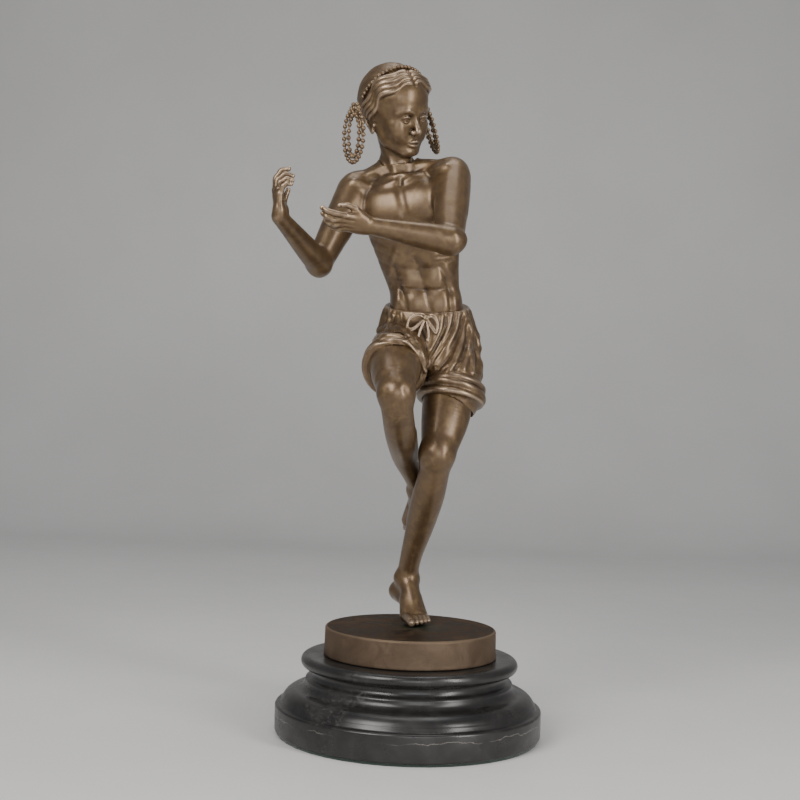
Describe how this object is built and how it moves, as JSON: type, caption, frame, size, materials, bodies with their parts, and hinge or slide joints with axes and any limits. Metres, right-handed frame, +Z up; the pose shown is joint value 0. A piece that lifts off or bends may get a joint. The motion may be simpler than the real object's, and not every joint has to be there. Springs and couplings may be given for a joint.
{
  "type": "figure trophy",
  "caption": "Bronze trophy statuette of a dancer balanced on the toes of one foot, on a round bronze plinth and a turned black marble base.",
  "frame": {"origin": "centre of the underside of the felt pad under the round base", "axes": "+Z up, the figure faces -Y, +X is the figure's left-hand side"},
  "size_m": [0.1785, 0.17, 0.431],
  "materials": {
    "bronze": "brown patina with warm rubbed highlights, satin wax polish",
    "marble": "polished near-black marble with faint pale veins",
    "steel": "plain zinc-plated steel",
    "felt": "dark green wool felt"
  },
  "bodies": {
    "root": {"felt_pad": "felt", "marble_base": "marble", "clamp_washer": "steel", "clamp_nut": "steel", "clamp_stud": "steel", "bronze_plinth": "bronze", "foot_stud": "steel", "foot_nut": "steel", "standing_leg": "bronze", "raised_leg": "bronze", "standing_thigh_pin": "bronze", "raised_thigh_pin": "bronze", "shorts": "bronze", "drawstring_bow": "bronze", "waist_pin": "bronze", "torso": "bronze", "left_arm": "bronze", "right_arm": "bronze", "left_arm_pin": "bronze", "right_arm_pin": "bronze", "neck_pin": "bronze", "head": "bronze", "headband": "bronze", "left_ear_loop": "bronze", "left_ear_loop_inner": "bronze", "right_ear_loop": "bronze", "right_ear_loop_inner": "bronze"}
  },
  "joints": []
}
